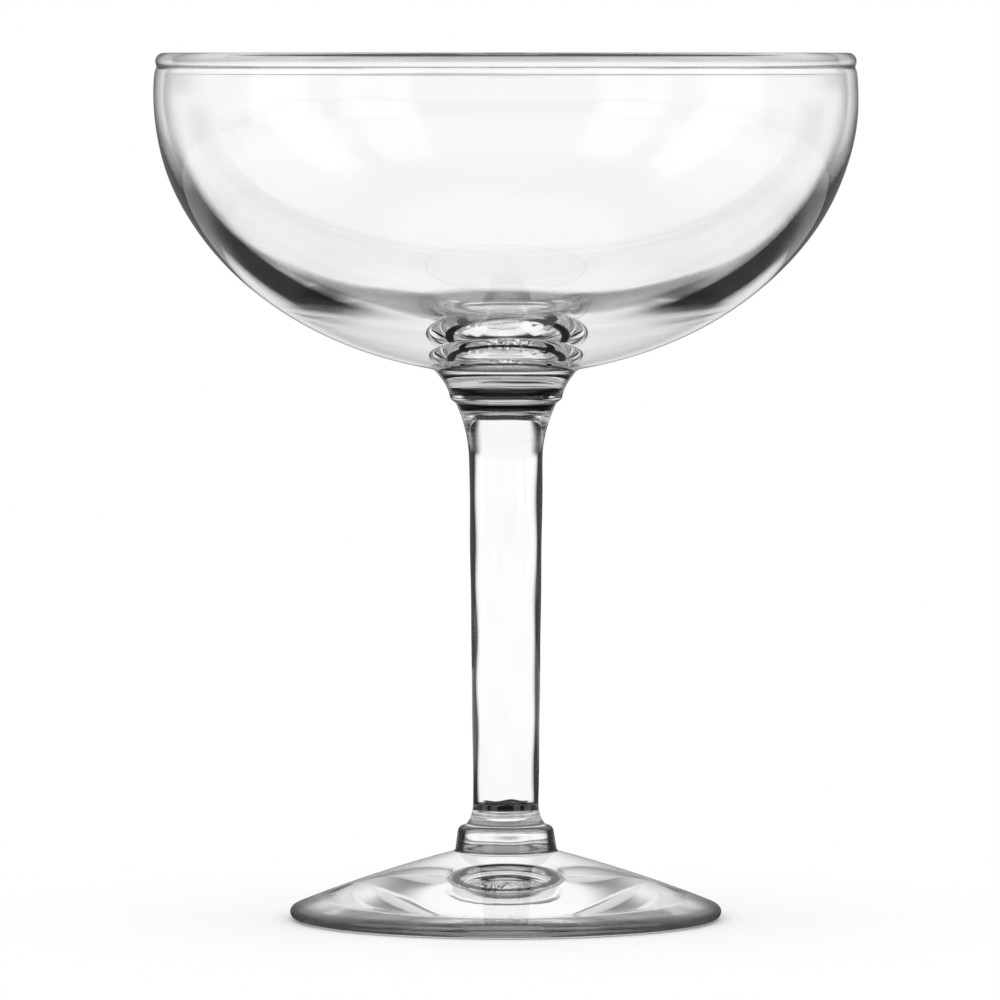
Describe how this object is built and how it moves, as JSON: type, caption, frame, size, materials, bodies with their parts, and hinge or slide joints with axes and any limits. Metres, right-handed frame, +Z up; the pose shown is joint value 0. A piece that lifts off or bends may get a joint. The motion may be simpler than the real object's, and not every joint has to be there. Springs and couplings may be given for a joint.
{
  "type": "margarita glass",
  "caption": "Clear footed coupe glass for margaritas: a wide bowl with a rolled lip on a solid collar, a tapered stem, a button and a low domed foot.",
  "frame": {"origin": "on the table, in the middle of the foot's resting ring", "axes": "+Z up along the glass's axis of revolution; X and Y are two level directions, alike because the glass is round"},
  "size_m": [0.13, 0.13, 0.16],
  "materials": {
    "bowl_glass": "clear blown glass, fire polished",
    "stem_glass": "clear drawn glass, fire polished",
    "foot_glass": "clear pressed glass, lightly worn on the resting ring"
  },
  "bodies": {
    "root": {"bowl": "bowl_glass", "bowl_collar": "stem_glass", "stem": "stem_glass", "foot_button": "stem_glass", "foot": "foot_glass"}
  },
  "joints": []
}
